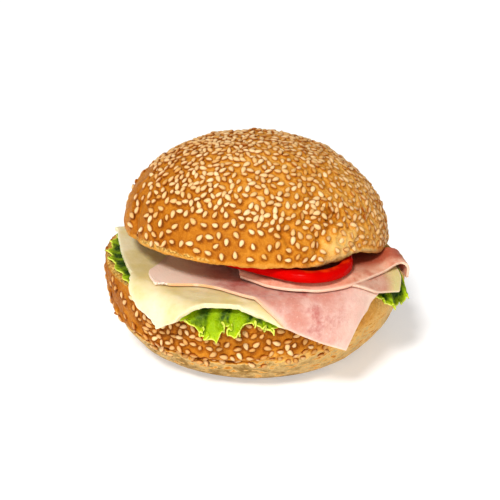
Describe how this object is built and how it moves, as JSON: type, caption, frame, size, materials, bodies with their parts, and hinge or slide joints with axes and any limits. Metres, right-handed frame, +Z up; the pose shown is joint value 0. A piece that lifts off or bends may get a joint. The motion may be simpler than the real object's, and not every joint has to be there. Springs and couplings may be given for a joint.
{
  "type": "ham and cheese roll",
  "caption": "Round sesame bread roll cut in two and filled with lettuce, a cheese slice, folded ham slices and a ring of red pepper.",
  "frame": {"origin": "centre of the flat underside of the bottom half, on the surface it rests on", "axes": "+Z up through the roll, -Y towards the side where the fillings hang out, +X to the right seen from there"},
  "size_m": [0.1198, 0.1254, 0.0842],
  "materials": {
    "bread": "baked crust, golden brown with pale base and cream seeds",
    "lettuce": "fresh leaf, soft gloss",
    "cheese": "smooth, waxy",
    "ham": "moist, soft gloss",
    "pepper": "wet, glossy"
  },
  "bodies": {
    "root": {"heel": "bread", "crown": "bread", "lettuce_left": "lettuce", "lettuce_front": "lettuce", "lettuce_right": "lettuce", "cheese_slice": "cheese", "ham_low": "ham", "ham_mid": "ham", "ham_top": "ham", "pepper_ring": "pepper"}
  },
  "joints": []
}
